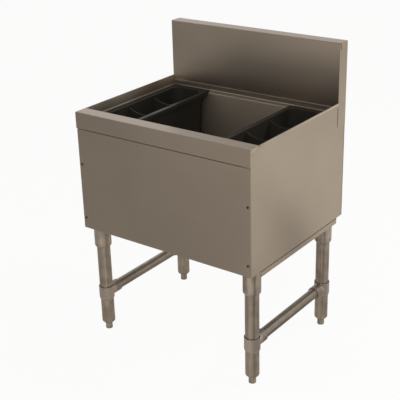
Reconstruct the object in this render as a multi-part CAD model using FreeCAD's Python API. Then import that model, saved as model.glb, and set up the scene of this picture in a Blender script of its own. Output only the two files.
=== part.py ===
import FreeCAD, Part
import math
import os

# Underbar ice chest: a stainless bin on four tubular legs, with a lift-out bottle well on each side.
# Millimetres. +X is right as seen from the front, +Y points to the back, +Z is up.
# The origin lies on the floor, midway between the sides and between the apron and the back.

# Overall sizes
width = 609.6
body_depth = 508.0
rim_height = 736.6
body_height = 370.0
sheet = 1.2
bend_radius = 1.2

# Front apron
apron_depth = 44.4
apron_face = 50.8
apron_turn_down = 20.0
apron_tab = 25.4
apron_tab_mitre = 23.0
apron_tab_clip = 12.0
apron_return = 9.0

# Front panel, its screws and their nuts
panel_recess = 1.6
panel_gap = 1.2
panel_return = 11.0
screw_edge = 9.1
screw_heights = (35.0, 208.0)
screw_radius = 2.4
screw_length = 13.0
screw_tip_round = 1.2
screw_head_radius = 4.2
screw_head_height = 1.6
screw_head_round = 0.9
screw_cross_reach = 2.5
screw_cross_width = 1.2
screw_cross_depth = 0.9
hole_clearance = 0.2
nut_side = 11.0
nut_height = 3.2

# Side panels
side_flange = 22.0
flange_relief = 0.4
seam_width = 3.0
seam_drop = 13.0

# Backsplash
splash_rise = 177.8
splash_depth = 44.4
splash_skirt = 73.0
splash_lap = 18.6
splash_bead = 5.0
splash_tab = 20.0
splash_tab_clip = 9.0

# Back panel and base pan
back_rise = 4.0
back_stiffener = 14.0
pan_flange = 20.0
pan_corner = 3.0

# Bin liner
ledge_drop = 30.6
ledge_side = 22.4
ledge_end = 26.0
ledge_bend = 1.8
upstand_gap = 4.6
rim_lap = 5.5
bin_depth = 304.8
bin_corner = 20.0
bin_cove = 12.0
foam_thickness = 20.0
foam_clearance = 0.3

# Drain in the bin floor, for one inch iron pipe
drain_recess_depth = 5.0
drain_recess_slope = 9.0
drain_recess_margin = 1.2
drain_flange_width = 20.0
drain_flange_height = 2.0
drain_flange_round = 1.0
drain_spigot_radius = 16.7
drain_spigot_length = 36.0
drain_spigot_wall = 4.2
drain_spigot_round = 1.0
drain_shank_step = 1.3
drain_shank_drop = 6.0
drain_gasket_height = 1.5
drain_gasket_inset = 1.0
drain_hole_clearance = 0.5
locknut_wall = 7.0
locknut_height = 9.0
locknut_pocket = 1.3
strainer_rest = 4.0
strainer_height = 1.5
strainer_seat = 1.0
strainer_hole_radius = 1.5
strainer_ring_gap = 4.9
strainer_rings = 2
strainer_spokes = 6

# Bottle wells
well_inner_edge = 148.0
well_outer_gap = 13.2
well_ledge_rest = 12.0
well_flange_height = 3.0
well_flange_corner = 8.0
well_rail = 11.0
well_outer_border = 17.5
well_end_gap = 4.5
well_depth = 228.6
well_wall = 3.0
well_corner = 32.0
well_draft = 5.0
well_foot = 7.0
well_rim_round = 1.2
well_lip_height = 9.0
compartments = 3
divider_thickness = 3.0
divider_drop = 3.0
divider_dip = 17.0

# Legs, sockets and the channels that carry them
leg_inset = 28.5
leg_front = 47.5
leg_back = 62.0
leg_diameter = 41.3
leg_wall = 1.5
tube_clearance = 0.4
socket_wall = 4.95
socket_lip = 0.65
socket_lip_round = 0.5
socket_taper = 7.0
socket_taper_round = 2.5
socket_length = 54.5
socket_cap = 3.0
channel_depth = 20.8
channel_width = 58.0
channel_seam = 2.2
channel_back_run = 38.0
channel_corner = 9.0
channel_edge = 3.0
channel_wall = 2.0

# Adjustable feet
foot_diameter = 22.0
foot_exposed = 20.0
foot_round = 1.5
foot_top_round = 0.4
shoulder_height = 10.5
shoulder_step = 1.5
shoulder_band = 2.0
shoulder_round = 5.0
shoulder_edge_round = 0.8
insert_length = 25.0
insert_clearance = 0.1
insert_round = 1.0
thread_radius = 7.9
thread_round = 1.0
thread_clearance = 0.3
thread_overrun = 20.0

# Brace tees and cross rails
tee_wall = 2.65
tee_lip = 0.45
tee_lip_round = 0.3
tee_top = 154.0
tee_top_round = 0.4
tee_height = 45.0
tee_taper = 5.5
tee_taper_round = 1.5
tee_mouth = 1.7
tee_mouth_depth = 4.0
tee_web = 7.0
tee_arm_wall = 3.0
tee_arm_round = 2.0
rail_height = 133.0
rail_diameter = 31.75
rail_wall = 1.5
rail_grip = 26.0

# Set screws in the tees and sockets
grub_radius = 4.0
grub_length = 4.0
grub_hex = 4.0
grub_hex_depth = 2.2
grub_tip_gap = 0.1

# Places that follow from the sizes above
overall_depth = body_depth + 2 * sheet
front = -overall_depth / 2
back = overall_depth / 2
half_width = width / 2
side_face = half_width - sheet
side_inside = side_face - sheet
body_back = front + body_depth
body_bottom = rim_height - body_height
splash_front = back - splash_depth
splash_top = rim_height + splash_rise
splash_foot = rim_height - splash_skirt
apron_foot = rim_height - apron_face
rim_fold = 3 * sheet / 2
panel_front = front + panel_recess
panel_top = apron_foot - panel_gap
flange_front = panel_front + sheet
wall_top = rim_height - rim_fold
pan_bottom = body_bottom + sheet
flange_foot = pan_bottom + bend_radius
ledge_z = rim_height - ledge_drop
floor_z = rim_height - bin_depth
upstand_top = rim_height - upstand_gap
upper_half = side_inside - sheet
upper_front = front + apron_depth - sheet
upper_back = splash_front + sheet
bin_half = upper_half - ledge_side
bin_front = upper_front + ledge_end
bin_back = upper_back - ledge_end
bin_middle = (bin_front + bin_back) / 2
leg_x = half_width - leg_inset
leg_y_front = front + leg_front
leg_y_back = body_back - leg_back
channel_bottom = pan_bottom - channel_depth
leg_radius = leg_diameter / 2
leg_bore = leg_radius + tube_clearance
socket_radius = leg_bore + socket_wall
tee_radius = leg_bore + tee_wall
rail_radius = rail_diameter / 2
rail_bore = rail_radius + tube_clearance
rail_stop = leg_bore + tee_web
tee_arm_radius = rail_bore + tee_arm_wall
tee_arm_reach = rail_stop + rail_grip
arm_grub_reach = rail_stop + rail_grip / 2
tube_bottom = foot_exposed + shoulder_height
socket_foot = channel_bottom - socket_length
socket_grub_z = channel_bottom - socket_length / 2
drain_shank_radius = drain_spigot_radius + drain_shank_step
drain_flange_radius = drain_shank_radius + drain_flange_width
drain_bore_radius = drain_spigot_radius - drain_spigot_wall
drain_recess_z = floor_z - drain_recess_depth
locknut_z = drain_recess_z - sheet
locknut_radius = (drain_shank_radius + locknut_wall) / math.cos(math.pi / 6)
strainer_radius = drain_shank_radius + strainer_rest
screw_x = side_face - screw_edge
screw_places = [(side * screw_x, body_bottom + height) for side in (-1, 1) for height in screw_heights]

# Each leg: its place in plan, the height its socket is welded at, and the way its tee's arm points
corners = {
    "front_left": (-leg_x, leg_y_front, pan_bottom, 1),
    "front_right": (leg_x, leg_y_front, pan_bottom, 1),
    "back_left": (-leg_x, leg_y_back, channel_bottom, -1),
    "back_right": (leg_x, leg_y_back, channel_bottom, -1),
}

V = FreeCAD.Vector
UP = V(0, 0, 1)
LEFT = V(-1, 0, 0)
BACK = V(0, 1, 0)
TINY = 0.001


def across(x):
    """Lift a (y, z) outline into the plane at x."""
    return lambda y, z: V(x, y, z)


def along(y):
    """Lift an (x, z) outline into the plane at y."""
    return lambda x, z: V(x, y, z)


def level(z):
    """Lift an (x, y) outline to the height z."""
    return lambda x, y: V(x, y, z)


def box(x_span, y_span, z_span):
    low = V(x_span[0], y_span[0], z_span[0])
    return Part.makeBox(x_span[1] - x_span[0], y_span[1] - y_span[0], z_span[1] - z_span[0], low)


def rod(radius, start, end):
    """Round bar between two points."""
    run = end - start
    return Part.makeCylinder(radius, run.Length, start, run)


def rounded_wire(points, radii, lift):
    """Closed outline through 2-D points, each corner rounded by its own radius."""
    flat = [V(a, b, 0) for a, b in points]
    trims = []
    for i, here in enumerate(flat):
        to_last = (flat[i - 1] - here).normalize()
        to_next = (flat[(i + 1) % len(flat)] - here).normalize()
        half = to_last.getAngle(to_next) / 2
        radius = radii[i]
        reach = radius / math.tan(half)
        depth = radius / math.sin(half) - radius
        middle = here + (to_last + to_next).normalize() * depth if radius else here
        trims.append((here + to_last * reach, middle, here + to_next * reach))
    edges = []
    for i, (start, middle, end) in enumerate(trims):
        before = trims[i - 1][2]
        if before.distanceToPoint(start) > TINY:
            edges.append(Part.LineSegment(lift(before.x, before.y), lift(start.x, start.y)).toShape())
        if radii[i]:
            arc = [lift(p.x, p.y) for p in (start, middle, end)]
            edges.append(Part.Arc(*arc).toShape())
    return Part.Wire(edges)


def rounded_face(points, radii, lift):
    return Part.Face(rounded_wire(points, radii, lift))


def polygon_face(points, lift):
    return rounded_face(points, [0] * len(points), lift)


def rectangle(a_span, b_span):
    return [(a_span[0], b_span[0]), (a_span[1], b_span[0]), (a_span[1], b_span[1]), (a_span[0], b_span[1])]


def left_normals(path, i):
    """Unit normals, to the left, of the one or two legs that meet at point i of an open path."""
    normals = []
    for j in (i - 1, i):
        if 0 <= j < len(path) - 1:
            run = V(path[j + 1][0] - path[j][0], path[j + 1][1] - path[j][1], 0).normalize()
            normals.append(V(-run.y, run.x, 0))
    return normals


def folded_face(path, lift):
    """Section of a folded sheet: the path runs along its outside, with the metal to the path's left."""
    inside = []
    outer_radii = []
    inner_radii = []
    for i, point in enumerate(path):
        normals = left_normals(path, i)
        if len(normals) == 1:
            shift = normals[0] * sheet
            turn = 0
        else:
            shift = (normals[0] + normals[1]) * (sheet / (1 + normals[0].dot(normals[1])))
            turn = normals[0].cross(normals[1]).z
        inside.append((point[0] + shift.x, point[1] + shift.y))
        outer_radii.append(0 if turn == 0 else bend_radius + (sheet if turn > 0 else 0))
        inner_radii.append(0 if turn == 0 else bend_radius + (0 if turn > 0 else sheet))
    return rounded_face(path + inside[::-1], outer_radii + inner_radii[::-1], lift)


def turned(profile, radii, x, y):
    """Solid of revolution about the vertical through (x, y), from an (r, z) outline."""
    face = rounded_face(profile, radii, lambda r, z: V(x + r, y, z))
    return face.revolve(V(x, y, 0), UP, 360)


def joined(first, others):
    return first.multiFuse(others).removeSplitter()


def edges_in(shape, x_span, y_span, z_span):
    """Edges that lie wholly inside a box."""
    spans = (x_span, y_span, z_span)
    low = V(*[span[0] - TINY for span in spans])
    high = V(*[span[1] + TINY for span in spans])
    window = FreeCAD.BoundBox(low, high)
    return [edge for edge in shape.Edges if window.isInside(edge.BoundBox)]


def pair(x_span, y_span, z_span):
    """Two boxes, on the right and mirrored on the left."""
    return [box(x_span, y_span, z_span), box((-x_span[1], -x_span[0]), y_span, z_span)]


def mirrored(shape):
    return shape.mirror(V(0, 0, 0), V(1, 0, 0))


def front_apron():
    """Folded sheet over the bin's front, with a return along its foot and a mitred tab round each side."""
    path = [(front + apron_depth, rim_height - apron_turn_down), (front + apron_depth, rim_height),
            (front, rim_height), (front, apron_foot), (front + apron_return, apron_foot)]
    bar = folded_face(path, across(-side_face)).extrude(V(2 * side_face, 0, 0))
    tab_end = front + apron_tab
    outline = [(front, rim_height - sheet - bend_radius), (tab_end, rim_height - apron_tab_mitre),
               (tab_end, apron_foot + apron_tab_clip), (tab_end - apron_tab_clip, apron_foot),
               (front, apron_foot)]
    tabs = [polygon_face(outline, across(x)).extrude(V(sheet, 0, 0)) for x in (-half_width, side_face)]
    relief_y = (flange_front, front + apron_depth)
    relief_z = (rim_height - apron_turn_down, rim_height - sheet)
    reliefs = pair((side_inside, side_face), relief_y, relief_z)
    return_z = (apron_foot, apron_foot + sheet + bend_radius)
    reliefs += flange_reliefs((front + sheet, front + apron_return), return_z)
    return joined(bar.cut(reliefs), tabs)


def flange_reliefs(y_span, z_span):
    """Room in a turned edge for the side panels' front flanges."""
    return pair((side_face - side_flange - flange_relief, side_face), y_span, z_span)


def front_panel():
    """Removable panel below the apron, with a return along its upper and lower edges and its screw holes."""
    heel = panel_front + panel_return
    path = [(heel, panel_top), (panel_front, panel_top), (panel_front, body_bottom), (heel, body_bottom)]
    panel = folded_face(path, across(-side_face)).extrude(V(2 * side_face, 0, 0))
    reliefs = pair((side_inside, side_face), (flange_front, heel), (body_bottom, flange_foot))
    reliefs += flange_reliefs((flange_front, heel), (panel_top - sheet - bend_radius, panel_top))
    return panel.cut(reliefs + [screw_hole(x, z) for x, z in screw_places])


def screw_hole(x, z):
    reach = flange_front + sheet + nut_height
    return rod(screw_radius + hole_clearance, V(x, front, z), V(x, reach, z))


def panel_screws():
    """Pan-head screws of the front panel, each with a cross recess."""
    screws = []
    face = panel_front - screw_head_height
    for x, z in screw_places:
        profile = [(0, 0), (screw_head_radius, 0), (screw_head_radius, screw_head_height),
                   (screw_radius, screw_head_height), (screw_radius, screw_head_height + screw_length),
                   (0, screw_head_height + screw_length)]
        radii = [0, screw_head_round, 0, 0, screw_tip_round, 0]
        screw = turned(profile, radii, 0, 0)
        half = screw_cross_width / 2
        arms = [(screw_cross_reach, half), (half, screw_cross_reach)]
        cross = [box((-a, a), (-b, b), (0, screw_cross_depth)) for a, b in arms]
        screw = screw.cut(cross)
        screw.rotate(V(0, 0, 0), V(1, 0, 0), -90)
        screw.translate(V(x, face, z))
        screws.append(screw)
    return Part.makeCompound(screws)


def panel_weld_nuts():
    """Square weld nuts behind the side panels' front flanges."""
    nuts = []
    seat = flange_front + sheet
    for x, z in screw_places:
        half = nut_side / 2
        nut = box((x - half, x + half), (seat, seat + nut_height), (z - half, z + half))
        nuts.append(nut.cut(screw_hole(x, z)))
    return Part.makeCompound(nuts)


def side_panel():
    """Right side panel: folded into a flange at the front and the back, notched round the splash."""
    seam_top = rim_height - seam_drop
    outline = [(flange_front, body_bottom), (body_back, body_bottom), (body_back, splash_foot),
               (splash_front - seam_width, splash_foot), (splash_front - seam_width, seam_top),
               (splash_front, seam_top), (splash_front, wall_top), (front + apron_depth, wall_top),
               (front + apron_depth, rim_height - sheet), (flange_front, rim_height - sheet)]
    blank = polygon_face(outline, across(side_face - side_flange)).extrude(V(side_flange, 0, 0))
    plan = [(side_face - side_flange, flange_front), (side_face, flange_front), (side_face, body_back),
            (side_face - side_flange, body_back)]
    wall = folded_face(plan, level(body_bottom)).extrude(V(0, 0, body_height)).common(blank)
    relief = box((side_face - side_flange, side_inside), (flange_front, panel_front + panel_return),
                 (body_bottom, flange_foot))
    return wall.cut([relief] + [screw_hole(x, z) for x, z in screw_places])


def backsplash():
    """Boxed splash: folded front, top and back, closed ends that drop into the side panels, mitred tabs."""
    path = [(back, splash_foot), (back, splash_top), (splash_front, splash_top),
            (splash_front, rim_height - splash_lap)]
    wrap = folded_face(path, across(-side_face)).extrude(V(2 * side_face, 0, 0))
    corner = bend_radius + sheet
    end_outline = rectangle((splash_front, back), (splash_foot, splash_top))
    tab_foot = splash_top - splash_tab
    tab_outline = [(splash_front + corner, splash_top), (splash_front + splash_tab_clip, tab_foot),
                   (back - splash_tab_clip, tab_foot), (back - corner, splash_top)]
    pieces = []
    for end, tab in ((-side_face, -half_width), (side_inside, side_face)):
        plate = rounded_face(end_outline, [0, 0, corner, corner], across(end))
        pieces.append(plate.extrude(V(sheet, 0, 0)))
        pieces.append(polygon_face(tab_outline, across(tab)).extrude(V(sheet, 0, 0)))
    foot = rim_height - splash_lap
    bead_outline = rectangle((splash_front - sheet, splash_front), (foot, foot + splash_bead))
    bead_half = upper_half - sheet
    bead = rounded_face(bead_outline, [sheet / 2, 0, 0, sheet / 2], across(-bead_half))
    pieces.append(bead.extrude(V(2 * bead_half, 0, 0)))
    return joined(wrap, pieces)


def back_panel():
    """Flat back, notched round the splash's ends, with a flange along its upper edge inside the splash."""
    top = ledge_z + back_rise
    face = body_back + sheet
    path = [(face, body_bottom), (face, top), (face - back_stiffener, top)]
    panel = folded_face(path, across(-side_face)).extrude(V(2 * side_face, 0, 0))
    notch_y = (face - back_stiffener, face)
    return panel.cut(pair((side_inside, side_face), notch_y, (splash_foot, top)))


def base_pan():
    """Tray under the insulation, with a hole for the drain pipe."""
    x_span = (-side_inside, side_inside)
    y_span = (flange_front + sheet, body_back - sheet)
    outer = rounded_face(rectangle(x_span, y_span), [pan_corner] * 4, level(pan_bottom)).extrude(UP * pan_flange)
    x_inner = (x_span[0] + sheet, x_span[1] - sheet)
    y_inner = (y_span[0] + sheet, y_span[1] - sheet)
    inner = rounded_face(rectangle(x_inner, y_inner), [pan_corner - sheet] * 4, level(pan_bottom + sheet))
    inner = inner.extrude(UP * (pan_flange - sheet))
    return outer.cut([inner, drain_hole(pan_bottom, pan_bottom + sheet)])


def drain_hole(low, high):
    return rod(drain_shank_radius + drain_hole_clearance, V(0, bin_middle, low), V(0, bin_middle, high))


def bin_form(grow):
    """Stepped bin, grown outwards by a distance: ledge tray above, coved well below, recess for the drain."""
    upper_x = (-upper_half - grow, upper_half + grow)
    upper_y = (upper_front - grow, upper_back + grow)
    upper_z = (ledge_z - grow, upstand_top)
    lower_x = (-bin_half - grow, bin_half + grow)
    lower_y = (bin_front - grow, bin_back + grow)
    lower_z = (floor_z - grow, ledge_z)
    tray = rounded_tray(upper_x, upper_y, upper_z, 0, ledge_bend + grow)
    well = rounded_tray(lower_x, lower_y, lower_z, bin_corner + grow, bin_cove + grow)
    recess_foot = drain_flange_radius + drain_recess_margin + grow
    recess_start = V(0, bin_middle, drain_recess_z - grow)
    recess = Part.makeCone(recess_foot, recess_foot + drain_recess_slope, drain_recess_depth, recess_start)
    form = joined(tray, [well, recess])
    step = edges_in(form, lower_x, lower_y, (upper_z[0], upper_z[0]))
    return form.makeFillet(ledge_bend + sheet - grow, step)


def rounded_tray(x_span, y_span, z_span, corner, cove):
    """Block with rounded upright edges and a rounded lower edge."""
    face = rounded_face(rectangle(x_span, y_span), [corner] * 4, level(z_span[0]))
    block = face.extrude(V(0, 0, z_span[1] - z_span[0]))
    return block.makeFillet(cove, edges_in(block, x_span, y_span, (z_span[0], z_span[0])))


def liner_sheets():
    """Sheets of the welded bin: a coved floor, and four walls mitred at the corners, each with ledge and upstand.

    The upstand is relieved at the corners for the apron's and the splash's turned edges.
    """
    shell = bin_form(sheet).cut(bin_form(0))
    relief_x = (upper_half, upper_half + sheet)
    reliefs = pair(relief_x, (upper_front - sheet, front + apron_depth),
                   (rim_height - apron_turn_down, upstand_top))
    reliefs += pair(relief_x, (splash_front, upper_back + sheet), (rim_height - splash_lap, upstand_top))
    shell = shell.cut(reliefs + [drain_hole(locknut_z, drain_recess_z)])
    weld_z = floor_z + bin_cove
    floor = shell.common(box((-half_width, half_width), (front, back), (body_bottom, weld_z)))
    sheets = {"liner_floor": floor}
    for wall, quarter in wall_quarters(weld_z).items():
        sheets["liner_wall_" + wall] = shell.common(quarter)
    fold = rim_over_side()
    sheets["liner_wall_right"] = joined(sheets["liner_wall_right"], [fold])
    sheets["liner_wall_left"] = joined(sheets["liner_wall_left"], [mirrored(fold)])
    return sheets


def rim_over_side():
    """Edge of the liner's right wall, rolled out over the side panel's upper edge."""
    outline = [(half_width, rim_height - rim_lap), (half_width, rim_height), (upper_half, rim_height),
               (upper_half, upstand_top), (side_inside, upstand_top), (side_inside, rim_height - sheet),
               (side_face, rim_height - sheet), (side_face, rim_height - rim_lap)]
    radii = [0, rim_fold, rim_fold, 0, 0, sheet / 2, sheet / 2, 0]
    start = front + apron_depth
    return rounded_face(outline, radii, along(start)).extrude(V(0, splash_front - start, 0))


def wall_quarters(foot):
    """Four blocks round the bin's middle, above a height, that meet in the mitre planes of its corners."""
    reach = max(ledge_side, ledge_end) + bin_corner
    near = rectangle((reach - upper_half, upper_half - reach), (upper_front + reach, upper_back - reach))
    far = rectangle((-upper_half - reach, upper_half + reach), (upper_front - reach, upper_back + reach))
    quarters = {}
    for i, wall in enumerate(("left", "front", "right", "back")):
        outline = [near[i - 1], far[i - 1], far[i], near[i]]
        quarters[wall] = polygon_face(outline, level(foot)).extrude(UP * (rim_height - foot))
    return quarters


def insulation():
    """Foam jacket round the liner's walls and floor, with a pocket for the drain's locknut."""
    gap = sheet + foam_clearance
    grow = gap + foam_thickness
    x_span = (-bin_half - grow, bin_half + grow)
    y_span = (bin_front - grow, bin_back + grow)
    z_span = (floor_z - grow, ledge_z - gap)
    jacket = rounded_tray(x_span, y_span, z_span, bin_corner + grow, bin_cove + grow)
    pocket_foot = V(0, bin_middle, z_span[0])
    pocket = rod(locknut_radius + locknut_pocket, pocket_foot, V(0, bin_middle, floor_z))
    return jacket.cut([bin_form(gap), pocket])


def drain_body():
    """Flanged drain: a flange on its gasket in the recess, a shank through the pan and a spigot below."""
    flange_foot = drain_recess_z + drain_gasket_height
    flange_top = flange_foot + drain_flange_height
    shank_foot = pan_bottom - drain_shank_drop
    spigot_foot = shank_foot - drain_spigot_length
    seat_foot = flange_top - strainer_seat
    seat_radius = strainer_radius + hole_clearance
    profile = [(drain_bore_radius, spigot_foot), (drain_spigot_radius, spigot_foot),
               (drain_spigot_radius, shank_foot), (drain_shank_radius, shank_foot),
               (drain_shank_radius, flange_foot), (drain_flange_radius, flange_foot),
               (drain_flange_radius, flange_top), (seat_radius, flange_top),
               (seat_radius, seat_foot), (drain_bore_radius, seat_foot)]
    radii = [0, drain_spigot_round, 0, 0, 0, 0, drain_flange_round, 0, 0, 0]
    return turned(profile, radii, 0, bin_middle)


def drain_gasket():
    low = V(0, bin_middle, drain_recess_z)
    high = low + UP * drain_gasket_height
    disc = rod(drain_flange_radius - drain_gasket_inset, low, high)
    return disc.cut(drain_hole(low.z, high.z))


def hexagon(radius, z):
    """Face of a hexagon about the vertical axis, at the height z."""
    turns = [math.radians(60 * i) for i in range(6)]
    return polygon_face([(radius * math.cos(turn), radius * math.sin(turn)) for turn in turns], level(z))


def drain_locknut():
    """Hexagon nut that pulls the drain against the liner."""
    foot = locknut_z - locknut_height
    nut = hexagon(locknut_radius, foot).extrude(UP * locknut_height)
    nut.translate(V(0, bin_middle, 0))
    bore = drain_shank_radius + hole_clearance
    return nut.cut(rod(bore, V(0, bin_middle, foot), V(0, bin_middle, locknut_z)))


def drain_strainer():
    """Perforated disc that drops into the drain's seat."""
    low = drain_recess_z + drain_gasket_height + drain_flange_height - strainer_seat
    centre = V(0, bin_middle, low)
    rise = UP * strainer_height
    spots = [centre]
    for ring in range(1, strainer_rings + 1):
        count = strainer_spokes * ring
        for i in range(count):
            turn = 2 * math.pi * i / count
            spots.append(centre + V(math.cos(turn), math.sin(turn), 0) * (strainer_ring_gap * ring))
    holes = [rod(strainer_hole_radius, spot, spot + rise) for spot in spots]
    return rod(strainer_radius, centre, centre + rise).cut(holes)


def well_section(x_span, y_span, inset, z):
    """Rounded outline of the trough, drawn in by an inset, at the height z."""
    outline = rectangle((x_span[0] + inset, x_span[1] - inset), (y_span[0] + inset, y_span[1] - inset))
    return rounded_wire(outline, [well_corner - inset] * 4, level(z))


def well_trough(x_span, y_span, inset, top, foot):
    """Drafted trough: straight walls that lean in, and a bevelled foot."""
    sections = [well_section(x_span, y_span, inset, top),
                well_section(x_span, y_span, inset + well_draft, foot + well_foot),
                well_section(x_span, y_span, inset + well_draft + well_foot, foot)]
    return Part.makeLoft(sections, True, True)


def bottle_well():
    """Right bottle well: one moulding with a flange on the ledges, a drafted trough and dished dividers."""
    top = ledge_z + well_flange_height
    foot = top - well_depth
    flange_x = (well_inner_edge, upper_half - well_outer_gap)
    flange_y = (bin_front - well_ledge_rest, bin_back + well_ledge_rest)
    trough_x = (flange_x[0] + well_rail, flange_x[1] - well_outer_border)
    trough_y = (bin_front + well_end_gap, bin_back - well_end_gap)
    flange = rounded_face(rectangle(flange_x, flange_y), [well_flange_corner] * 4, level(ledge_z))
    flange = flange.extrude(UP * well_flange_height)
    lip_x = (flange_x[0], flange_x[0] + well_wall)
    lip = box(lip_x, trough_y, (ledge_z - well_lip_height, ledge_z))
    outer = well_trough(trough_x, trough_y, 0, top, foot)
    inner = well_trough(trough_x, trough_y, well_wall, top, foot + well_wall)
    shell = joined(outer, [flange, lip]).cut(inner)
    rim = edges_in(shell, trough_x, trough_y, (top, top))
    shell = shell.makeFillet(well_rim_round, rim)
    pitch = (trough_y[1] - trough_y[0]) / compartments
    dividers = [divider(trough_x, trough_y[0] + pitch * i, top - divider_drop, foot).common(outer)
                for i in range(1, compartments)]
    return joined(shell, dividers)


def divider(x_span, y, top, foot):
    """Cross wall whose upper edge dips in an arc between the trough's sides."""
    start = y - divider_thickness / 2
    middle = (x_span[0] + x_span[1]) / 2
    lift = along(start)
    left_foot, right_foot = lift(x_span[0], foot), lift(x_span[1], foot)
    left_top, right_top = lift(x_span[0], top), lift(x_span[1], top)
    edges = [Part.LineSegment(left_top, left_foot), Part.LineSegment(left_foot, right_foot),
             Part.LineSegment(right_foot, right_top),
             Part.Arc(right_top, lift(middle, top - divider_dip), left_top)]
    face = Part.Face(Part.Wire([edge.toShape() for edge in edges]))
    return face.extrude(V(0, divider_thickness, 0))


def leg_channel():
    """Right leg channel: a shallow pressed trough, open upwards, notched round the front leg's socket.

    Its outer wall is flush with the side panel and stops short of it, which leaves an open seam.
    """
    x_span = (side_face - channel_width, side_face)
    y_span = (leg_y_front, leg_y_back + channel_back_run)
    outer = rounded_tray(x_span, y_span, (channel_bottom, pan_bottom), channel_corner, channel_edge)
    x_inner = (x_span[0] + channel_wall, x_span[1] - channel_wall)
    y_inner = (y_span[0] + channel_wall, y_span[1] - channel_wall)
    inner = rounded_tray(x_inner, y_inner, (channel_bottom + channel_wall, pan_bottom),
                         channel_corner - channel_wall, channel_edge - channel_wall)
    notch = rod(socket_radius, V(leg_x, leg_y_front, channel_bottom), V(leg_x, leg_y_front, pan_bottom))
    seam = box((x_inner[1], side_face), y_span, (body_bottom - channel_seam, pan_bottom))
    return outer.cut([inner, notch, seam])


def leg_socket(x, y, top):
    """Closed cup, welded on at its top, with a tapered mouth for the leg tube."""
    cap = top - socket_cap
    profile = [(0, cap), (leg_bore, cap), (leg_bore, socket_foot), (leg_bore + socket_lip, socket_foot),
               (socket_radius, socket_foot + socket_taper), (socket_radius, top), (0, top)]
    socket = turned(profile, [0, 0, 0, socket_lip_round, socket_taper_round, 0, 0], x, y)
    return socket.cut(grub_hole(V(x, y, socket_grub_z), BACK, socket_radius))


def grub_hole(centre, out, reach):
    """Set-screw hole from a tube's axis, outwards through the wall round it."""
    return rod(grub_radius + hole_clearance, centre, centre + out * reach)


def tube(start, end, radius, wall):
    return rod(radius, start, end).cut(rod(radius - wall, start, end))


def foot_insert(x, y):
    """Plug pressed into the tube's end, with a rounded shoulder below it and a threaded bore."""
    bore = thread_radius + thread_clearance
    mouth = foot_diameter / 2 + shoulder_step
    plug = leg_radius - leg_wall - insert_clearance
    plug_top = tube_bottom + insert_length
    profile = [(bore, foot_exposed), (mouth, foot_exposed), (leg_radius, tube_bottom - shoulder_band),
               (leg_radius, tube_bottom), (plug, tube_bottom), (plug, plug_top), (bore, plug_top)]
    radii = [0, shoulder_edge_round, shoulder_round, 0, 0, insert_round, 0]
    return turned(profile, radii, x, y)


def adjustable_foot(x, y):
    """Screw foot: a round pad that stops against the insert, and a stud up through it."""
    radius = foot_diameter / 2
    stud_top = tube_bottom + insert_length + thread_overrun
    profile = [(0, 0), (radius, 0), (radius, foot_exposed), (thread_radius, foot_exposed),
               (thread_radius, stud_top), (0, stud_top)]
    return turned(profile, [0, foot_round, foot_top_round, 0, thread_round, 0], x, y)


def brace_tee(x, y, way):
    """Cast tee: a sleeve on the leg with a flared mouth, an arm for the cross rail, and two set-screw holes."""
    foot = tee_top - tee_height
    mouth = leg_bore + tee_mouth
    profile = [(0, foot), (leg_bore + tee_lip, foot), (tee_radius, foot + tee_taper), (tee_radius, tee_top),
               (0, tee_top)]
    sleeve = turned(profile, [0, tee_lip_round, tee_taper_round, tee_top_round, 0], x, y)
    axis = V(0, way, 0)
    hub = V(x, y, rail_height)
    arm_end = hub + axis * tee_arm_reach
    arm = rod(tee_arm_radius, hub, arm_end)
    rim = [edge for edge in arm.Edges if abs(edge.CenterOfMass.y - arm_end.y) < TINY]
    arm = arm.makeFillet(tee_arm_round, rim)
    flare_foot = V(x, y, tee_top - tee_mouth_depth)
    cuts = [rod(leg_bore, V(x, y, foot), V(x, y, tee_top)), rod(rail_bore, hub + axis * rail_stop, arm_end),
            Part.makeCone(leg_bore, mouth, tee_mouth_depth, flare_foot),
            grub_hole(hub, LEFT, tee_radius), grub_hole(hub + axis * arm_grub_reach, -UP, tee_arm_radius)]
    return joined(sleeve, [arm]).cut(cuts)


def cross_rail(x):
    """Tube between the front and back tees of one side."""
    start = V(x, leg_y_front + rail_stop, rail_height)
    return tube(start, V(x, leg_y_back - rail_stop, rail_height), rail_radius, rail_wall)


def grub_screw(tip, out):
    """Set screw with a hexagon socket in its outer end."""
    key = hexagon(grub_hex / (2 * math.cos(math.pi / 6)), grub_length - grub_hex_depth)
    screw = rod(grub_radius, V(0, 0, 0), UP * grub_length).cut(key.extrude(UP * grub_hex_depth))
    screw.Placement = FreeCAD.Placement(tip, FreeCAD.Rotation(UP, out))
    return screw


def tee_set_screws():
    screws = []
    for x, y, top, way in corners.values():
        hub = V(x, y, rail_height)
        screws.append(grub_screw(hub + LEFT * (leg_radius + grub_tip_gap), LEFT))
        under = hub + V(0, way * arm_grub_reach, -rail_radius - grub_tip_gap)
        screws.append(grub_screw(under, -UP))
    return Part.makeCompound(screws)


def socket_set_screws():
    reach = leg_radius + grub_tip_gap
    tips = [V(x, y, socket_grub_z) + BACK * reach for x, y, top, way in corners.values()]
    return Part.makeCompound([grub_screw(tip, BACK) for tip in tips])


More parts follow.
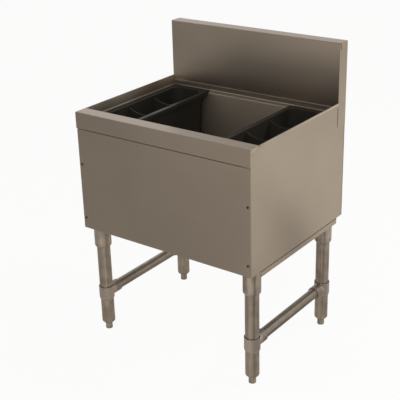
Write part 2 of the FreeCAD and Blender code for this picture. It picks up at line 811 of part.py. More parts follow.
nodes = {
    "front_apron": front_apron(),
    "front_panel": front_panel(),
    "panel_screws": panel_screws(),
    "panel_weld_nuts": panel_weld_nuts(),
    "side_panel_right": side_panel(),
    "side_panel_left": mirrored(side_panel()),
    "backsplash": backsplash(),
    "back_panel": back_panel(),
    "base_pan": base_pan(),
    "insulation": insulation(),
    "drain_body": drain_body(),
    "drain_gasket": drain_gasket(),
    "drain_locknut": drain_locknut(),
    "drain_strainer": drain_strainer(),
    "bottle_well_right": bottle_well(),
    "bottle_well_left": mirrored(bottle_well()),
    "leg_channel_right": leg_channel(),
    "leg_channel_left": mirrored(leg_channel()),
    "cross_rail_right": cross_rail(leg_x),
    "cross_rail_left": cross_rail(-leg_x),
    "tee_set_screws": tee_set_screws(),
    "socket_set_screws": socket_set_screws(),
}
nodes.update(liner_sheets())
for corner_name, (leg_at_x, leg_at_y, socket_top, arm_way) in corners.items():
    nodes["leg_socket_" + corner_name] = leg_socket(leg_at_x, leg_at_y, socket_top)
    leg_foot = V(leg_at_x, leg_at_y, tube_bottom)
    leg_head = V(leg_at_x, leg_at_y, socket_top - socket_cap)
    nodes["leg_tube_" + corner_name] = tube(leg_foot, leg_head, leg_radius, leg_wall)
    nodes["foot_insert_" + corner_name] = foot_insert(leg_at_x, leg_at_y)
    nodes["adjustable_foot_" + corner_name] = adjustable_foot(leg_at_x, leg_at_y)
    nodes["brace_tee_" + corner_name] = brace_tee(leg_at_x, leg_at_y, arm_way)

os.makedirs("parts", exist_ok=True)
for node_name, shape in nodes.items():
    shape.exportStep("parts/" + node_name + ".step")
    print(node_name, len(shape.Solids), shape.isValid(), round(shape.Volume / 1000, 2), "cm3")
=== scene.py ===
import math

import bmesh
import bpy
from mathutils import Matrix, Vector


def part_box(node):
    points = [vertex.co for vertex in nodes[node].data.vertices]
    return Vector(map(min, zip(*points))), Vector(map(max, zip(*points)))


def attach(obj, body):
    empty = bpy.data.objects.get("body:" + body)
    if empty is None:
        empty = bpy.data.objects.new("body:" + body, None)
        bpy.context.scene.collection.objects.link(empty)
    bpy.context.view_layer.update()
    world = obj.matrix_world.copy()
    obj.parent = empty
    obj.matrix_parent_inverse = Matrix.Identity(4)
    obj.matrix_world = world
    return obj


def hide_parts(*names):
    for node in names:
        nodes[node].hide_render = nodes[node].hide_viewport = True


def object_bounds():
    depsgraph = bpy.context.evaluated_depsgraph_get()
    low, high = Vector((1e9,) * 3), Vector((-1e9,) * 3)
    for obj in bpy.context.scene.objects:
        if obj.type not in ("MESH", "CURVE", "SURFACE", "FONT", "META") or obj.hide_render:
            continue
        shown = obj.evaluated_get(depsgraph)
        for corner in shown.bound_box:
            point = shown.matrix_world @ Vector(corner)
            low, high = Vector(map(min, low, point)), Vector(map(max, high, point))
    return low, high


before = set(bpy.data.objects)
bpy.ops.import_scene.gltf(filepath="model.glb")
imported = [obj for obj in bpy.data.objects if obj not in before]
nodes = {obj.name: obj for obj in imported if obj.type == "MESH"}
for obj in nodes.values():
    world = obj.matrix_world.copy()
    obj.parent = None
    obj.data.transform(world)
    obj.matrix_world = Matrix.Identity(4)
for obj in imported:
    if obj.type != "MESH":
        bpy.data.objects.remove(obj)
cad_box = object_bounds()
MM = 0.001

# Places on the chest that its finishes need
RIM, LEDGE = 736.6 * MM, 706.0 * MM
ROLLED_RIM = (RIM - 2.5 * MM, RIM - 1 * MM)
SPLASH_BEAD, LEDGE_BEND = RIM - 13.9 * MM, LEDGE + 1.0 * MM
SPLASH_HALF, BIN_OPEN_HALF = cad_box[1][0], 155 * MM
APRON_WELD = (cad_box[1][0], cad_box[0][1] + 18 * MM, RIM - 5 * MM)
LEG_FRONT, LEG_BACK = -207.7 * MM, 190.8 * MM
LEGS_MIDDLE, LEGS_HALF = (LEG_FRONT + LEG_BACK) / 2, (LEG_BACK - LEG_FRONT) / 2
TEE_ARM, TEE_SLEEVE = LEGS_HALF - 32 * MM, LEGS_HALF - 24 * MM
CORNERS = ("front_left", "front_right", "back_left", "back_right")

# Small helpers


def srgb(code):
    """A hex colour as linear RGBA."""
    parts = [int(code[i:i + 2], 16) / 255 for i in (1, 3, 5)]
    return [c / 12.92 if c <= 0.04045 else ((c + 0.055) / 1.055) ** 2.4 for c in parts] + [1.0]


def add(tree, kind, sockets=None, **settings):
    """One shader node: settings are its properties, sockets its input values or the outputs that feed them."""
    node = tree.nodes.new(kind)
    for name, value in settings.items():
        setattr(node, name, value)
    for name, value in (sockets or {}).items():
        if isinstance(value, bpy.types.NodeSocket):
            tree.links.new(value, node.inputs[name])
        else:
            node.inputs[name].default_value = value
    return node


def new_material(name):
    """An empty node material and its output node."""
    material = bpy.data.materials.new(name)
    material.use_nodes = True
    material.node_tree.nodes.clear()
    return material, material.node_tree, material.node_tree.nodes.new("ShaderNodeOutputMaterial")


def dress(names, material):
    """Give CAD nodes one finish."""
    for name in names:
        mesh = nodes[name].data
        mesh.materials.clear()
        mesh.materials.append(material)


# Painted shades, a painted highlight and the weld's marks, each a share from 0 to 1 that a finish lays over its own
# colour

# Colours of the painted shade above the ledge, in the joints, on the rim and on the tees' arms, and of the painted
# highlight on bends
LEDGE_SHADE_COLOUR, CORNER_SHADE_COLOUR, RIM_SHADE_COLOUR, BEND_HIGHLIGHT_COLOUR, ARM_SHADE_COLOUR = "#2A241D", "#3A3128", "#857B6F", "#F2E8DA", "#4A4138"
# How open to the sky a tight corner and a free face are, and how far from a corner its painted shade reaches
TIGHT_CORNER, FREE_FACE, CORNER_SHADE_REACH = 0.3, 0.75, 5 * MM
# How far a face's normal points up: at most on a wall that counts as upright, and where a bend starts and is full
UPRIGHT, BEND_START, BEND_FULL, BEND_HALF_HEIGHT = 0.3, 0.1, 0.4, 0.85 * MM
# The weld is twice as long front to back. Its ragged edge has waves of a size, which move it by so much
WELD_STRETCH, WAVE_SIZE, WAVE_REACH = (1.0, 0.5, 1.0), 12 * MM, 24 * MM
# Brown that the heat left round the weld, then the bright spot that the grinding wheel left on it
WELD_MARKS = ((22 * MM, 28 * MM, 0.2, "#8A7763"), (16 * MM, 22 * MM, 1.0, "#C2B7A9"))


def painted_corner_shade(tree, amount):
    """Painted shade in the joints, where one piece meets another: darkest in a tight corner, none on an open face."""
    corner = add(tree, "ShaderNodeAmbientOcclusion", {"Distance": CORNER_SHADE_REACH}, samples=8)
    darkened = add(tree, "ShaderNodeMapRange", {"Value": corner.outputs["AO"], "From Min": TIGHT_CORNER,
                                            "From Max": FREE_FACE, "To Min": amount, "To Max": 0.0})
    return darkened.outputs["Result"]


def ledge_painted_shade(tree, spot, facing, amount):
    """Painted shade on an upright wall above the ledge: darkest at the ledge, none at the rim."""
    above = add(tree, "ShaderNodeMapRange", {"Value": spot.outputs["Z"], "From Min": LEDGE, "From Max": RIM,
                                             "To Min": amount, "To Max": 0.0})
    upright = add(tree, "ShaderNodeMapRange", {"Value": facing.outputs["Z"], "From Min": 0.0, "From Max": UPRIGHT,
                                               "To Min": 1.0, "To Max": 0.0})
    over = add(tree, "ShaderNodeMath", {0: spot.outputs["Z"], 1: LEDGE}, operation="GREATER_THAN")
    ledge_shade = add(tree, "ShaderNodeMath", {0: above.outputs["Result"], 1: upright.outputs["Result"]},
                operation="MULTIPLY")
    ledge_shade = add(tree, "ShaderNodeMath", {0: ledge_shade.outputs[0], 1: over.outputs[0]}, operation="MULTIPLY")
    return ledge_shade.outputs[0]


def rim_painted_shade(tree, spot, amount):
    """Painted shade on the top of the bin's rolled rim, which makes it darker than its walls."""
    rolled = add(tree, "ShaderNodeMapRange", {"Value": spot.outputs["Z"], "From Min": ROLLED_RIM[0],
                                              "From Max": ROLLED_RIM[1], "To Min": 0.0, "To Max": amount})
    return rolled.outputs["Result"]


def arm_painted_shade(tree, place, amount):
    """Painted shade on a tee's arm, which makes it darker than its sleeve."""
    spot = add(tree, "ShaderNodeSeparateXYZ", {0: place.outputs["Object"]})
    inward = add(tree, "ShaderNodeMath", {0: spot.outputs["Y"], 1: LEGS_MIDDLE}, operation="SUBTRACT")
    inward = add(tree, "ShaderNodeMath", {0: inward.outputs[0]}, operation="ABSOLUTE")
    arm = add(tree, "ShaderNodeMapRange", {"Value": inward.outputs[0], "From Min": TEE_ARM, "From Max": TEE_SLEEVE,
                                           "To Min": amount, "To Max": 0.0})
    return arm.outputs["Result"]


def bend_painted_highlight(tree, spot, facing, bend):
    """A painted highlight on the upward face of a bend. bend is its height, half its length, and how bright it is."""
    height, half, amount = bend
    near = add(tree, "ShaderNodeMath", {0: spot.outputs["Z"], 1: height, 2: BEND_HALF_HEIGHT}, operation="COMPARE")
    upward = add(tree, "ShaderNodeMapRange", {"Value": facing.outputs["Z"], "From Min": BEND_START,
                                              "From Max": BEND_FULL, "To Min": 0.0, "To Max": amount})
    outward = add(tree, "ShaderNodeMath", {0: spot.outputs["X"]}, operation="ABSOLUTE")
    reached = add(tree, "ShaderNodeMath", {0: outward.outputs[0], 1: half}, operation="LESS_THAN")
    bright = add(tree, "ShaderNodeMath", {0: near.outputs[0], 1: upward.outputs["Result"]}, operation="MULTIPLY")
    bright = add(tree, "ShaderNodeMath", {0: bright.outputs[0], 1: reached.outputs[0]}, operation="MULTIPLY")
    return bright.outputs[0]


def weld_edge(tree, place, spot):
    """How far a point is from the weld at the apron's upper corners, with waves that make the weld's edge ragged."""
    outward = add(tree, "ShaderNodeMath", {0: spot.outputs["X"]}, operation="ABSOLUTE")
    folded = add(tree, "ShaderNodeCombineXYZ", {"X": outward.outputs[0], "Y": spot.outputs["Y"],
                                                "Z": spot.outputs["Z"]})
    offset = add(tree, "ShaderNodeVectorMath", {0: folded.outputs["Vector"], 1: APRON_WELD}, operation="SUBTRACT")
    offset = add(tree, "ShaderNodeVectorMath", {0: offset.outputs["Vector"], 1: WELD_STRETCH}, operation="MULTIPLY")
    reach = add(tree, "ShaderNodeVectorMath", {0: offset.outputs["Vector"]}, operation="LENGTH")
    wave = add(tree, "ShaderNodeTexNoise", {"Vector": place.outputs["Object"], "Scale": 1 / WAVE_SIZE, "Detail": 3.0})
    edge = add(tree, "ShaderNodeMath", {0: wave.outputs["Fac"], 1: WAVE_REACH, 2: reach.outputs["Value"]},
               operation="MULTIPLY_ADD")
    return edge.outputs[0]


# Finishes

# The range in which most of a noise's values lie
NOISE_LOW, NOISE_HIGH = 0.3, 0.7
# Relief of the grain, the pits and the pebble: strength and depth
GRAIN_RELIEF, PIT_RELIEF, PEBBLE_RELIEF = (0.02, 0.2 * MM), (0.25, 0.3 * MM), (0.12, 0.1 * MM)
# How far the grain and the scuffs change the roughness
GRAIN_GLOSS, SCUFF_GLOSS = 0.01, 0.06
# How far a face's normal points up where it starts to count as flat, and where it is flat
FLAT_START, FLAT_FULL = 0.3, 0.8
# Scratches, in millimetres: their drawn width on sheet, tube and socket, and their two lengths
LINE, TUBE_LINE, SOCKET_LINE, LONG, SHORT = 0.9, 4, 5, 150, 60
# Dull spots on sheet and on tube, and scuffs on plastic, in millimetres
SHEET_PATCH, TUBE_PATCH, SCUFF = 160, 36, 45
PLASTIC_IOR = 1.53


def brushed_stainless(name, grain, colour, shade, roughness, anisotropy, smear, wiped=0.0, ledge_shade=0.0,
                      patch=SHEET_PATCH, corner_shade=0.0, weld=0.0, rim=0.0, bend_highlight=None, shade_to_light_gradient=0.0):
    """Stainless sheet or tube, belt-ground to a dull grain: it mirrors light and dark as streaks across the grain.

    grain is a scratch's size along X, Y and Z in millimetres, and smear points across the scratches. Real ones are
    about 0.15 mm wide; they are drawn several times wider, so that they show at all. patch is the size of the dull
    spots in millimetres. wiped is how much smoother the sheet is where it lies flat and cloths wipe it or, below
    zero, how much duller the dust makes it there. shade_to_light_gradient is how fast the sheet turns from its shade
    at the front to its colour at the back, in parts of the tone per metre: painted shade at the front and painted
    light at the back. ledge_shade, corner_shade, rim and weld are how much the painted shade above the ledge, the
    painted shade in the joints, the painted shade on the rim and the apron's weld show, and bend_highlight is a bend
    with a painted highlight.
    """
    material, tree, out = new_material(name)
    place = add(tree, "ShaderNodeTexCoord")
    spot = add(tree, "ShaderNodeSeparateXYZ", {0: place.outputs["Object"]})
    facing = add(tree, "ShaderNodeSeparateXYZ", {0: add(tree, "ShaderNodeNewGeometry").outputs["Normal"]})

    # The grain's lines and the dull spots mix the clean colour with its shade
    stretch = add(tree, "ShaderNodeMapping", {"Vector": place.outputs["Object"],
                                              "Scale": [1 / (length * MM) for length in grain]})
    lines = add(tree, "ShaderNodeTexNoise", {"Vector": stretch.outputs["Vector"], "Scale": 1.0, "Detail": 3.0,
                                             "Roughness": 0.6})
    cloud = add(tree, "ShaderNodeTexNoise", {"Vector": place.outputs["Object"], "Scale": 1 / (patch * MM),
                                             "Detail": 1.0})
    mixed = add(tree, "ShaderNodeMath", {0: lines.outputs["Fac"], 1: cloud.outputs["Fac"]}, operation="ADD")
    # Painted shade at the front of the sheet that turns to painted light at the back
    if shade_to_light_gradient:
        mixed = add(tree, "ShaderNodeMath", {0: spot.outputs["Y"], 1: shade_to_light_gradient, 2: mixed.outputs[0]},
                    operation="MULTIPLY_ADD")
    tone = add(tree, "ShaderNodeMapRange", {"Value": mixed.outputs[0], "From Min": 2 * NOISE_LOW,
                                            "From Max": 2 * NOISE_HIGH, "To Min": 0.0, "To Max": 1.0})
    tint = add(tree, "ShaderNodeMix", {"Factor": tone.outputs["Result"], "A": srgb(shade), "B": srgb(colour)},
               data_type="RGBA")

    # The painted shades, the painted highlight and the weld's marks go over it in turn
    marks = []
    if ledge_shade:
        marks.append((ledge_painted_shade(tree, spot, facing, ledge_shade), LEDGE_SHADE_COLOUR))
    if corner_shade:
        marks.append((painted_corner_shade(tree, corner_shade), CORNER_SHADE_COLOUR))
    if rim:
        marks.append((rim_painted_shade(tree, spot, rim), RIM_SHADE_COLOUR))
    if bend_highlight:
        marks.append((bend_painted_highlight(tree, spot, facing, bend_highlight), BEND_HIGHLIGHT_COLOUR))
    if weld:
        edge = weld_edge(tree, place, spot)
        for inner, outer, share, heat_colour in WELD_MARKS:
            mark = add(tree, "ShaderNodeMapRange", {"Value": edge, "From Min": inner, "From Max": outer,
                                                    "To Min": share * weld, "To Max": 0.0})
            marks.append((mark.outputs["Result"], heat_colour))
    for share, mark_colour in marks:
        tint = add(tree, "ShaderNodeMix", {"Factor": share, "A": tint.outputs["Result"], "B": srgb(mark_colour)},
                   data_type="RGBA")

    # The gloss follows the lines a little, and the flat parts are wiped or dusty
    gloss = add(tree, "ShaderNodeMapRange", {"Value": lines.outputs["Fac"], "From Min": NOISE_LOW,
                                             "From Max": NOISE_HIGH, "To Min": roughness - GRAIN_GLOSS,
                                             "To Max": roughness + GRAIN_GLOSS})
    if wiped:
        flat = add(tree, "ShaderNodeMapRange", {"Value": facing.outputs["Z"], "From Min": FLAT_START,
                                                "From Max": FLAT_FULL, "To Min": 0.0, "To Max": wiped})
        gloss = add(tree, "ShaderNodeMath", {0: gloss.outputs["Result"], 1: flat.outputs["Result"]},
                    operation="SUBTRACT")
    relief = add(tree, "ShaderNodeBump", {"Height": lines.outputs["Fac"], "Strength": GRAIN_RELIEF[0],
                                          "Distance": GRAIN_RELIEF[1]})
    across = add(tree, "ShaderNodeCombineXYZ", {"X": smear[0], "Y": smear[1], "Z": smear[2]})
    shader = add(tree, "ShaderNodeBsdfPrincipled", {
        "Base Color": tint.outputs["Result"], "Metallic": 1.0, "Roughness": gloss.outputs[0],
        "Anisotropic": anisotropy, "Tangent": across.outputs["Vector"], "Normal": relief.outputs["Normal"]})
    tree.links.new(shader.outputs["BSDF"], out.inputs["Surface"])
    return material


def cast_metal(name, colour, shade, roughness, grit, arms=0.0, corner_shade=0.0):
    """Cast metal, tumbled or plated but not ground: an even, slightly pitted skin without streaks.

    grit is the size of the pits in millimetres. arms and corner_shade are how much the painted shade on the tees' arms
    and the painted shade in the joints show.
    """
    material, tree, out = new_material(name)
    place = add(tree, "ShaderNodeTexCoord")
    pits = add(tree, "ShaderNodeTexNoise", {"Vector": place.outputs["Object"], "Scale": 1 / (grit * MM),
                                            "Detail": 4.0})
    tint = add(tree, "ShaderNodeMix", {"Factor": pits.outputs["Fac"], "A": srgb(shade), "B": srgb(colour)},
               data_type="RGBA")
    # Painted shade on the tees' arms and in the joints
    marks = []
    if arms:
        marks.append((arm_painted_shade(tree, place, arms), ARM_SHADE_COLOUR))
    if corner_shade:
        marks.append((painted_corner_shade(tree, corner_shade), CORNER_SHADE_COLOUR))
    for share, mark_colour in marks:
        tint = add(tree, "ShaderNodeMix", {"Factor": share, "A": tint.outputs["Result"], "B": srgb(mark_colour)},
                   data_type="RGBA")
    relief = add(tree, "ShaderNodeBump", {"Height": pits.outputs["Fac"], "Strength": PIT_RELIEF[0],
                                          "Distance": PIT_RELIEF[1]})
    shader = add(tree, "ShaderNodeBsdfPrincipled", {
        "Base Color": tint.outputs["Result"], "Metallic": 1.0, "Roughness": roughness,
        "Normal": relief.outputs["Normal"]})
    tree.links.new(shader.outputs["BSDF"], out.inputs["Surface"])
    return material


def moulded_plastic(name, colour, shade, roughness, grain, sheen):
    """Vacuum-formed ABS, moulded rubber or blown foam: one colour all through, with the pebble of the mould's face.

    grain is the size of the pebble in millimetres. Scuffs change the colour and the gloss a little.
    """
    material, tree, out = new_material(name)
    place = add(tree, "ShaderNodeTexCoord")
    pebble = add(tree, "ShaderNodeTexVoronoi", {"Vector": place.outputs["Object"], "Scale": 1 / (grain * MM)},
                 feature="SMOOTH_F1")
    scuff = add(tree, "ShaderNodeTexNoise", {"Vector": place.outputs["Object"], "Scale": 1 / (SCUFF * MM),
                                             "Detail": 5.0})
    tint = add(tree, "ShaderNodeMix", {"Factor": scuff.outputs["Fac"], "A": srgb(shade), "B": srgb(colour)},
               data_type="RGBA")
    gloss = add(tree, "ShaderNodeMapRange", {"Value": scuff.outputs["Fac"], "From Min": NOISE_LOW,
                                             "From Max": NOISE_HIGH, "To Min": roughness - SCUFF_GLOSS,
                                             "To Max": roughness + SCUFF_GLOSS})
    relief = add(tree, "ShaderNodeBump", {"Height": pebble.outputs["Distance"], "Strength": PEBBLE_RELIEF[0],
                                          "Distance": PEBBLE_RELIEF[1]})
    shader = add(tree, "ShaderNodeBsdfPrincipled", {
        "Base Color": tint.outputs["Result"], "Roughness": gloss.outputs["Result"], "IOR": PLASTIC_IOR,
        "Specular IOR Level": sheen, "Normal": relief.outputs["Normal"]})
    tree.links.new(shader.outputs["BSDF"], out.inputs["Surface"])
    return material


SHEET, SHEET_SHADE = "#B0A496", "#A89C8E"
TUBE, TUBE_SHADE = "#BDB1A2", "#887D70"

# Ground left to right, so that lights and darks smear into upright streaks, with painted shade in its joints
stainless_lengthwise = brushed_stainless(
    "stainless_sheet_brushed_lengthwise", (LONG, LINE, LINE), SHEET, SHEET_SHADE, roughness=0.38, anisotropy=0.7,
    smear=(0, 0.3, 1), corner_shade=0.15, weld=0.7)
# The same sheet, shinier in front, with dust on its top, painted shade in its joints and a painted highlight on the
# bead at its foot
stainless_splash = brushed_stainless(
    "stainless_splash_brushed_lengthwise", (LONG, LINE, LINE), SHEET, SHEET_SHADE, roughness=0.3, anisotropy=0.6,
    smear=(0, 0.3, 1), wiped=-0.1, corner_shade=0.4, bend_highlight=(SPLASH_BEAD, SPLASH_HALF, 1.0))
# Ground front to back, so that the sides show upright streaks too, and somewhat sharper ones, with painted shade in its
# joints
stainless_side = brushed_stainless(
    "stainless_sheet_brushed_front_to_back", (LINE, LONG, LINE), SHEET, SHEET_SHADE, roughness=0.34, anisotropy=0.75,
    smear=(0.3, 0, 1), corner_shade=0.5, weld=0.7)
# As it came from the mill: almost without reflections, and wiped smoother on the ledges. Its pale colour is painted
# light in the bin, with painted shade low above the ledge and a painted highlight on the ledge's bend
stainless_liner = brushed_stainless(
    "stainless_liner_mill_finish", (SHORT, LINE, LINE), "#C2B7A8", "#B6AB9C", roughness=0.68, anisotropy=0.35,
    smear=(0, 0.15, 1), wiped=0.2, ledge_shade=0.75, bend_highlight=(LEDGE_BEND, BIN_OPEN_HALF, 0.9))
# The same on the bin's sides, paler still as painted light, with painted shade at the front that turns to painted light
# at the back, painted shade low above the ledge and painted shade on the top of the rim
stainless_liner_side = brushed_stainless(
    "stainless_liner_mill_finish_sides", (LINE, SHORT, LINE), "#F0E4D4", "#B2A798", roughness=0.6, anisotropy=0.7,
    smear=(0, 0, 1), wiped=0.24, ledge_shade=0.7, rim=0.6, shade_to_light_gradient=2.0)
# Tube drawn along its length, which gives soft bright and dark stripes along it, with painted shade in its joints
stainless_leg = brushed_stainless(
    "stainless_tube_drawn", (TUBE_LINE, TUBE_LINE, LONG), TUBE, TUBE_SHADE, roughness=0.4, anisotropy=0.9,
    smear=(0, 0, 1), patch=TUBE_PATCH, corner_shade=0.7)
# Turned, and paler than the tube that is in it, with painted shade in its joints
stainless_socket = brushed_stainless(
    "stainless_socket_machined", (SOCKET_LINE, SOCKET_LINE, SHORT), "#CABEAF", "#8E8376", roughness=0.4,
    anisotropy=0.9, smear=(0, 0, 1), patch=TUBE_PATCH, corner_shade=0.7)
# Drawn like the legs, with its stripes from front to back. Its darker colour is painted shade for its place under the
# chest, and it has painted shade in its joints
stainless_rail = brushed_stainless(
    "stainless_rail_drawn", (TUBE_LINE, LONG, TUBE_LINE), "#A4998B", "#887E72", roughness=0.4, anisotropy=0.9,
    smear=(0, 1, 0), patch=TUBE_PATCH, corner_shade=0.7)
# Small dark glints
fastener_steel = brushed_stainless(
    "screw_steel_plain", (LINE, LINE, LINE), "#84766A", "#66594C", roughness=0.22, anisotropy=0.0, smear=(0, 0, 1))
# Warm and even beside the streaky tube, with painted shade on its arms and in its joints
tee_alloy = cast_metal("brace_tee_alloy_cast", "#BFB2A7", "#AB9F94", roughness=0.5, grit=1.6, arms=0.4, corner_shade=0.6)
# The cold, bright spot in the bin's floor
drain_metal = cast_metal("drain_brass_chrome_plated", "#C8C6C2", "#B9B7B3", roughness=0.25, grit=3.0)
# Black with a faint satin light along its edges
well_plastic = moulded_plastic("bottle_well_abs_black", "#2E2B26", "#292621", roughness=0.36, grain=1.2, sheen=0.11)
# Black without any shine
gasket_rubber = moulded_plastic("gasket_rubber_moulded", "#1E1D1C", "#161515", roughness=0.7, grain=1.0, sheen=0.5)
# Pale yellow and dry
foam_skin = moulded_plastic("urethane_foam_blown", "#E4D9B4", "#D6C99F", roughness=0.9, grain=3.0, sheen=0.5)

dress(["front_apron", "front_panel", "back_panel", "base_pan"], stainless_lengthwise)
dress(["backsplash"], stainless_splash)
dress(["side_panel_left", "side_panel_right", "leg_channel_left", "leg_channel_right"], stainless_side)
dress(["liner_floor", "liner_wall_front", "liner_wall_back"], stainless_liner)
dress(["liner_wall_left", "liner_wall_right"], stainless_liner_side)
dress(["cross_rail_left", "cross_rail_right"], stainless_rail)
for kind in ("leg_tube_", "foot_insert_", "adjustable_foot_"):
    dress([kind + corner for corner in CORNERS], stainless_leg)
dress(["leg_socket_" + corner for corner in CORNERS], stainless_socket)
dress(["brace_tee_" + corner for corner in CORNERS], tee_alloy)
dress(["panel_screws", "panel_weld_nuts", "tee_set_screws", "socket_set_screws"], fastener_steel)
dress(["drain_body", "drain_locknut", "drain_strainer"], drain_metal)
dress(["bottle_well_left", "bottle_well_right"], well_plastic)
dress(["drain_gasket"], gasket_rubber)
dress(["insulation"], foam_skin)

# Levelling feet, with the thread that the solids leave plain

PAD_HEIGHT, PAD_EDGE, PAD_BEVEL = 20 * MM, 1.5 * MM, 0.4 * MM
THREAD_CREST, THREAD_ROOT, THREAD_PITCH = 7.9 * MM, 6.8 * MM, 2.0 * MM
ROUND, THREAD_STEPS, EDGE_STEPS = 32, 8, 5


def foot_rings(low, high, pad_radius):
    """A foot's rings from its lower face up: height, radius, thread's ridge, and the turn where that is lowest."""
    pad_top = low + PAD_HEIGHT
    rings = []
    for step in range(EDGE_STEPS + 1):
        turn = math.pi / 2 * step / EDGE_STEPS
        rings.append((low + PAD_EDGE * (1 - math.cos(turn)), pad_radius - PAD_EDGE * (1 - math.sin(turn)), 0.0, 0.0))
    rings.append((pad_top - PAD_BEVEL, pad_radius, 0.0, 0.0))
    rings.append((pad_top, pad_radius - PAD_BEVEL, 0.0, 0.0))
    rings.append((pad_top, THREAD_ROOT, 0.0, 0.0))
    count = int((high - pad_top) / THREAD_PITCH * THREAD_STEPS)
    for step in range(1, count):
        climb = step / THREAD_STEPS
        fade = min(1.0, climb, (count - step) / THREAD_STEPS)
        rings.append((pad_top + climb * THREAD_PITCH, THREAD_ROOT, (THREAD_CREST - THREAD_ROOT) * fade, climb))
    rings.append((high, THREAD_ROOT, 0.0, 0.0))
    return rings


def levelling_foot(corner):
    """A round pad with a softened lower edge, and a stud with a rolled thread: rings of points about the leg's axis."""
    node = "adjustable_foot_" + corner
    low, high = (Vector(c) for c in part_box(node))
    axis = (low + high) / 2
    mesh = bmesh.new()
    loops = []
    for height, radius, ridge, climb in foot_rings(low.z, high.z, (high.x - low.x) / 2):
        loop = []
        for step in range(ROUND):
            way = step / ROUND
            reach = radius + ridge * (1 - abs(2 * ((climb - way) % 1.0) - 1))
            turn = 2 * math.pi * way
            loop.append(mesh.verts.new((axis.x + reach * math.cos(turn), axis.y + reach * math.sin(turn), height)))
        loops.append(loop)
    mesh.faces.new(reversed(loops[0]))
    for lower, upper in zip(loops, loops[1:]):
        for step in range(ROUND):
            after = (step + 1) % ROUND
            mesh.faces.new((lower[step], lower[after], upper[after], upper[step])).smooth = True
    mesh.faces.new(loops[-1])
    shape = bpy.data.meshes.new("levelling_foot_" + corner)
    mesh.to_mesh(shape)
    mesh.free()
    shape.materials.append(stainless_leg)
    foot = bpy.data.objects.new("levelling_foot_" + corner, shape)
    bpy.context.scene.collection.objects.link(foot)
    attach(foot, "foot_" + corner)
    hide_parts(node)


for corner in CORNERS:
    levelling_foot(corner)

# Studio

PURE_WHITE, WARM_WHITE, PAPER = "#FFFFFF", "#FFF8F0", "#E9E1D6"
# How white the floor is to the eye and in polished metal, and how bright the room is where no one looks
FLOOR_SEEN, FLOOR_MIRRORED, ROOM_DIM = 0.94, 0.12, 0.45
# Half the width of the floor, and of the sheet under it that carries it on to the horizon
FLOOR_HALF, FAR_FLOOR_HALF, FAR_FLOOR_HEIGHT = 6, 40, -0.002
# Heights of the cloths on the floor, one over the other, and of the one overhead
LOWER_CLOTH, UPPER_CLOTH, CEILING = 0.002, 0.004, 2.8
# The kinds of ray that miss a sheet which only metal shows, and one which only the eye sees
MIRRORED_ONLY, SEEN_ONLY = ("camera", "diffuse", "shadow"), ("glossy", "diffuse", "shadow")


def stage_plane(name, corners, material, hidden_from=()):
    """A flat sheet of the studio, which is no part of the chest. hidden_from names the kinds of ray that miss it."""
    mesh = bpy.data.meshes.new(name)
    mesh.from_pydata([Vector(c) for c in corners], [], [list(range(len(corners)))])
    mesh.materials.append(material)
    plane = bpy.data.objects.new(name, mesh)
    bpy.context.scene.collection.objects.link(plane)
    for ray in hidden_from:
        setattr(plane, "visible_" + ray, False)


def level_sheet(name, outline, height, material, hidden_from=()):
    """A sheet of the studio that lies flat at one height."""
    stage_plane(name, [(x, y, height) for x, y in outline], material, hidden_from)


def square(half):
    """The outline of a square about the origin."""
    return [(-half, -half), (half, -half), (half, half), (-half, half)]


def standing_card(name, bearing, distance, width, heights, material):
    """An upright card that only polished metal shows. bearing is from the front towards the right, in degrees."""
    turn = math.radians(bearing)
    out = Vector((math.sin(turn), -math.cos(turn), 0)) * distance
    along = Vector((math.cos(turn), math.sin(turn), 0)) * width / 2
    low, high = (Vector((0, 0, height)) for height in heights)
    corners = [out - along + low, out + along + low, out + along + high, out - along + high]
    stage_plane(name, corners, material, MIRRORED_ONLY)


def plain_glow(name, colour, strength):
    """A card's or cloth's even brightness."""
    material, tree, out = new_material(name)
    glow = add(tree, "ShaderNodeEmission", {"Color": srgb(colour), "Strength": strength})
    tree.links.new(glow.outputs[0], out.inputs["Surface"])
    return material


def seen_rays(tree):
    """The light path, and a switch that is 1 for rays that come straight from the eye."""
    rays = add(tree, "ShaderNodeLightPath")
    seen = add(tree, "ShaderNodeMath", {0: rays.outputs["Is Camera Ray"], 1: rays.outputs["Is Transmission Ray"]},
               operation="MAXIMUM")
    return rays, seen


# White paper that takes soft shadows, and looks dark in polished metal, as a room's floor would
floor_paper, tree, out = new_material("floor_paper_white")
rays, seen = seen_rays(tree)
seen = add(tree, "ShaderNodeMath", {0: seen.outputs[0], 1: FLOOR_SEEN}, operation="MULTIPLY")
mirrored = add(tree, "ShaderNodeMath", {0: rays.outputs["Is Glossy Ray"], 1: FLOOR_MIRRORED}, operation="MULTIPLY")
white_share = add(tree, "ShaderNodeMath", {0: seen.outputs[0], 1: mirrored.outputs[0]}, operation="MAXIMUM")
paper = add(tree, "ShaderNodeBsdfDiffuse", {"Color": srgb(PAPER)})
white = add(tree, "ShaderNodeEmission", {"Color": srgb(PURE_WHITE), "Strength": 1.0})
blend = add(tree, "ShaderNodeMixShader", {"Fac": white_share.outputs[0], 1: paper.outputs[0], 2: white.outputs[0]})
tree.links.new(blend.outputs[0], out.inputs["Surface"])
level_sheet("floor", square(FLOOR_HALF), 0, floor_paper)
level_sheet("far_floor", square(FAR_FLOOR_HALF), FAR_FLOOR_HEIGHT, floor_paper, SEEN_ONLY)

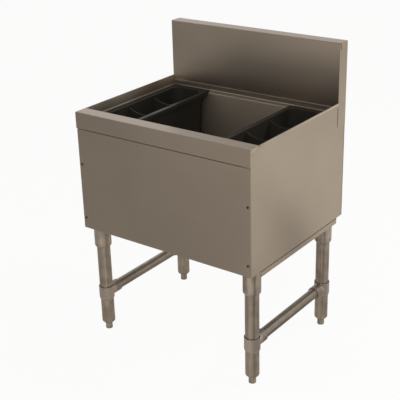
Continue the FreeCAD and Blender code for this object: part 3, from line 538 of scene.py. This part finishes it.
# A white room to the eye and in metal, which lights the rest only dimly
world = bpy.data.worlds.new("studio")
bpy.context.scene.world = world
world.use_nodes = True
tree = world.node_tree
tree.nodes.clear()
rays, seen = seen_rays(tree)
seen = add(tree, "ShaderNodeMath", {0: seen.outputs[0], 1: rays.outputs["Is Glossy Ray"]}, operation="MAXIMUM")
dim = add(tree, "ShaderNodeBackground", {"Color": srgb(PURE_WHITE), "Strength": ROOM_DIM})
white = add(tree, "ShaderNodeBackground", {"Color": srgb(PURE_WHITE), "Strength": 1.0})
blend = add(tree, "ShaderNodeMixShader", {"Fac": seen.outputs[0], 1: dim.outputs[0], 2: white.outputs[0]})
add(tree, "ShaderNodeOutputWorld", {"Surface": blend.outputs[0]})

# Cloths and cards that give the steel something to mirror; the last number is their brightness
dark_card = plain_glow("card_dark_cloth", PURE_WHITE, 0.12)
grey_cloth = plain_glow("cloth_grey", WARM_WHITE, 0.34)
dark_cloth = plain_glow("cloth_dark_grey", WARM_WHITE, 0.2)
white_cloth = plain_glow("cloth_white", WARM_WHITE, 1.0)
grey_drape, tree, out = new_material("drape_grey_lit_from_the_right")
across = add(tree, "ShaderNodeSeparateXYZ", {0: add(tree, "ShaderNodeTexCoord").outputs["Generated"]})
lit = add(tree, "ShaderNodeMapRange", {"Value": across.outputs["X"], "From Min": 0.2, "From Max": 0.9,
                                       "To Min": 0.16, "To Max": 0.56})
glow = add(tree, "ShaderNodeEmission", {"Color": srgb(WARM_WHITE), "Strength": lit.outputs["Result"]})
tree.links.new(glow.outputs[0], out.inputs["Surface"])

for name, outline, height, cloth in (
        ("front_cloth", [(-4.5, -0.45), (-4.5, -4.2), (-3.2, -4.2), (-1.5, -2.4), (-0.6, -2.4), (0.1, -0.45)],
         LOWER_CLOTH, grey_cloth),
        ("left_cloth", [(-4.5, -0.45), (-4.5, -4.2), (-3.2, -4.2), (-1.8, -2.4), (-1.8, -0.45)],
         UPPER_CLOTH, dark_cloth),
        ("far_cloth", [(-0.7, -2.4), (-1.5, -2.4), (-3.2, -4.6), (-1.0, -4.6)], UPPER_CLOTH, white_cloth),
        ("ceiling_cloth", square(1.6), CEILING, grey_cloth),
        ("right_cloth", [(0.36, -0.6), (0.95, -0.6), (0.95, 0.3), (0.36, 0.3)], LOWER_CLOTH, grey_cloth)):
    level_sheet(name, outline, height, cloth, MIRRORED_ONLY)
standing_card("front_left_drape", -40, 2.4, 3.6, (0.9, 3.2), grey_drape)
standing_card("right_dark_card", 62, 1.3, 0.42, (0, 1.5), dark_card)
standing_card("low_dark_box", 125, 0.72, 0.1, (0, 0.27), dark_card)


def softbox(name, at, aim, size, power):
    """A square cloth lamp head, which polished metal doesn't show."""
    lamp = bpy.data.lights.new(name, "AREA")
    lamp.size, lamp.energy = size, power
    holder = bpy.data.objects.new(name, lamp)
    holder.location = at
    holder.rotation_euler = (Vector(aim) - Vector(at)).to_track_quat("-Z", "Y").to_euler()
    holder.visible_glossy = False
    bpy.context.scene.collection.objects.link(holder)


softbox("top_softbox", at=(0.3, -1.5, 2.8), aim=(0, 0, 0.6), size=2.0, power=8)
softbox("front_right_softbox", at=(1.9, -2.6, 2.4), aim=(0, 0, 0.7), size=0.8, power=38)
softbox("back_right_softbox", at=(2.0, 1.5, 2.0), aim=(1.3, 1.2, 0.0), size=1.0, power=33)

# Camera, fitted to the corners of the chest

# Angles in radians, place in metres, focal length and picture in pixels, sensor in millimetres
AZIMUTH, ELEVATION, ROLL = 0.645278, 0.405104, -0.028425
CAMERA_PLACE = (1.54703, -2.12415, 1.56404)
FOCAL_LENGTH, PICTURE_WIDTH, SENSOR_WIDTH = 937.169, 400, 36.0

back = Vector((math.sin(AZIMUTH) * math.cos(ELEVATION), -math.cos(AZIMUTH) * math.cos(ELEVATION),
               math.sin(ELEVATION)))
right = (-back).cross(Vector((0, 0, 1))).normalized()
up = back.cross(right)
turned_right = right * math.cos(ROLL) + up * math.sin(ROLL)
turned_up = up * math.cos(ROLL) - right * math.sin(ROLL)
lens = bpy.data.cameras.new("camera")
lens.sensor_fit = "HORIZONTAL"
lens.sensor_width = SENSOR_WIDTH
lens.lens = FOCAL_LENGTH / PICTURE_WIDTH * SENSOR_WIDTH
camera = bpy.data.objects.new("camera", lens)
spin = Matrix((turned_right, turned_up, back)).transposed().to_4x4()
camera.matrix_world = Matrix.Translation(CAMERA_PLACE) @ spin
bpy.context.scene.collection.objects.link(camera)
bpy.context.scene.camera = camera

bpy.context.scene.view_settings.view_transform = "Standard"
